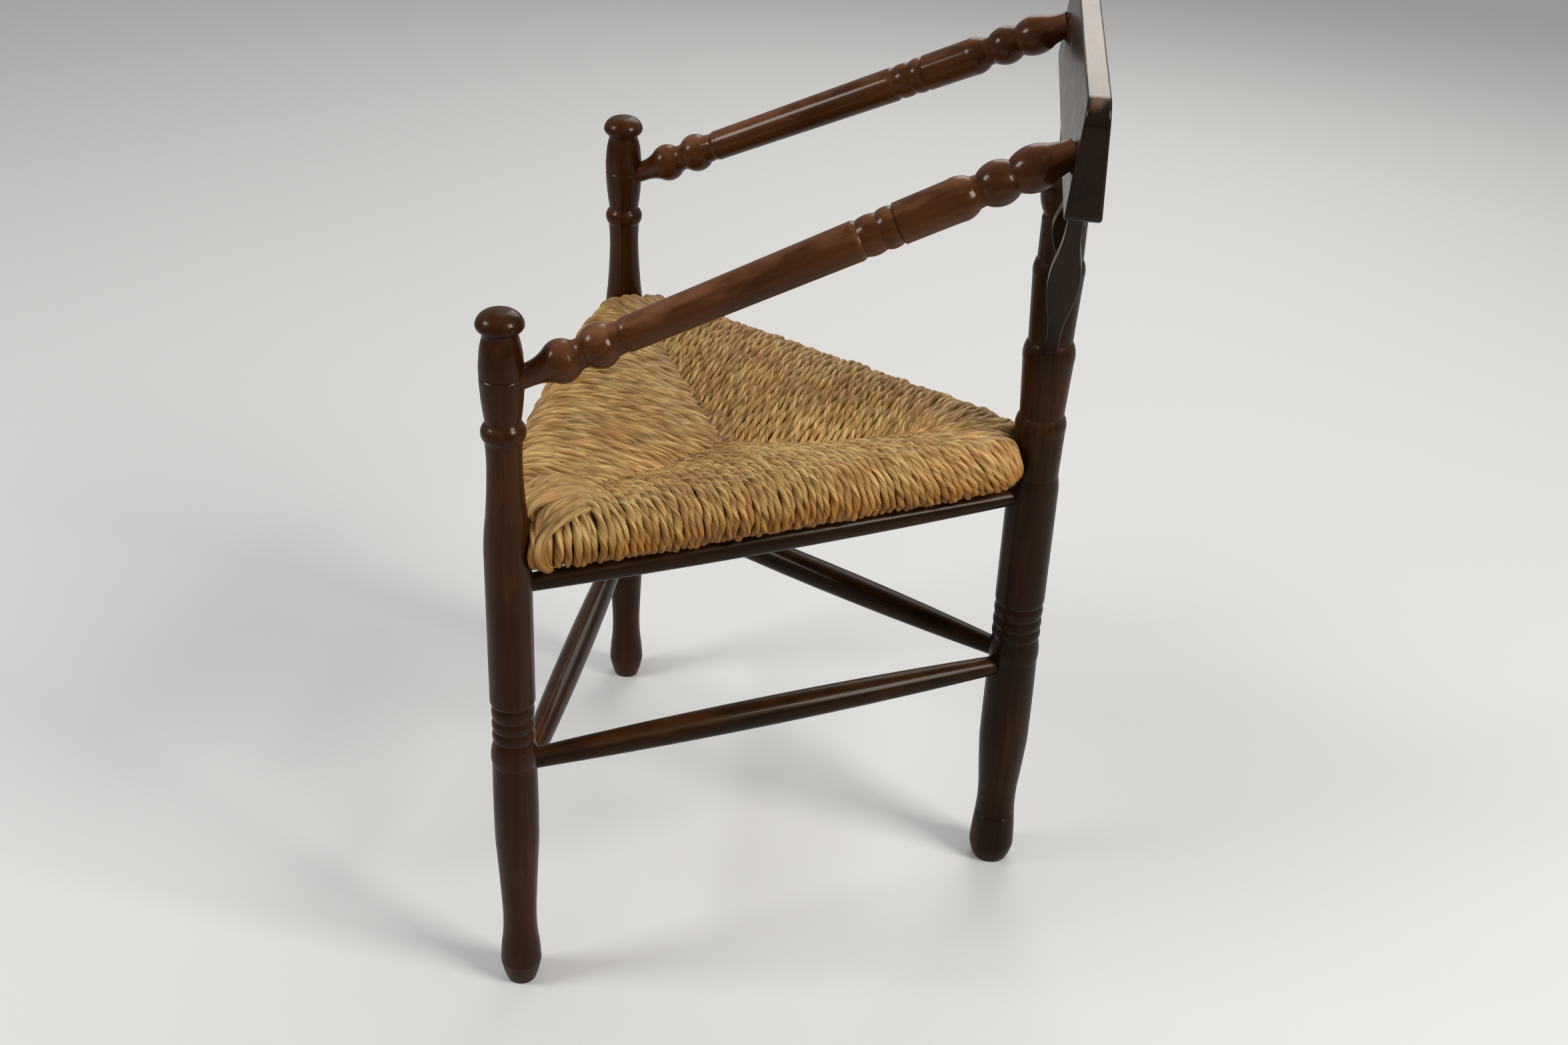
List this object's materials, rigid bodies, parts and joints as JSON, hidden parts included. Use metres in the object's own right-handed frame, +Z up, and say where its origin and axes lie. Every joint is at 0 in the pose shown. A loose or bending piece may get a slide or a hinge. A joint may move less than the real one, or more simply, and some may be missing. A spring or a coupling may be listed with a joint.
{
  "type": "corner chair",
  "caption": "Turned wooden corner chair on splayed posts, with a triangular rush seat, sloping turned arms, a flat crest board and two pairs of wavy splats.",
  "frame": {"origin": "on the floor, under the centre of the chair's bounding box", "axes": "+Z up, the sitter faces -Y, +X is the sitter's left"},
  "size_m": [0.5034, 0.4508, 0.7995],
  "materials": {
    "stained_wood": "dark brown stain under a worn semi-gloss polish",
    "bare_wood": "unfinished turned wood, hidden in the rush",
    "rush": "matte twisted rush with light straw streaks"
  },
  "bodies": {
    "root": {"front_left_post": "stained_wood", "front_right_post": "stained_wood", "back_post": "stained_wood", "crest_board": "stained_wood", "left_arm": "stained_wood", "right_arm": "stained_wood", "left_splat": "stained_wood", "right_splat": "stained_wood", "left_inner_splat": "stained_wood", "right_inner_splat": "stained_wood", "left_stretcher": "stained_wood", "right_stretcher": "stained_wood", "front_stretcher": "stained_wood", "left_seat_bar": "stained_wood", "right_seat_bar": "stained_wood", "front_seat_bar": "stained_wood", "front_seat_rail": "bare_wood", "left_seat_rail": "bare_wood", "right_seat_rail": "bare_wood", "rush_seat": "rush", "seat_stuffing": "rush"}
  },
  "joints": []
}
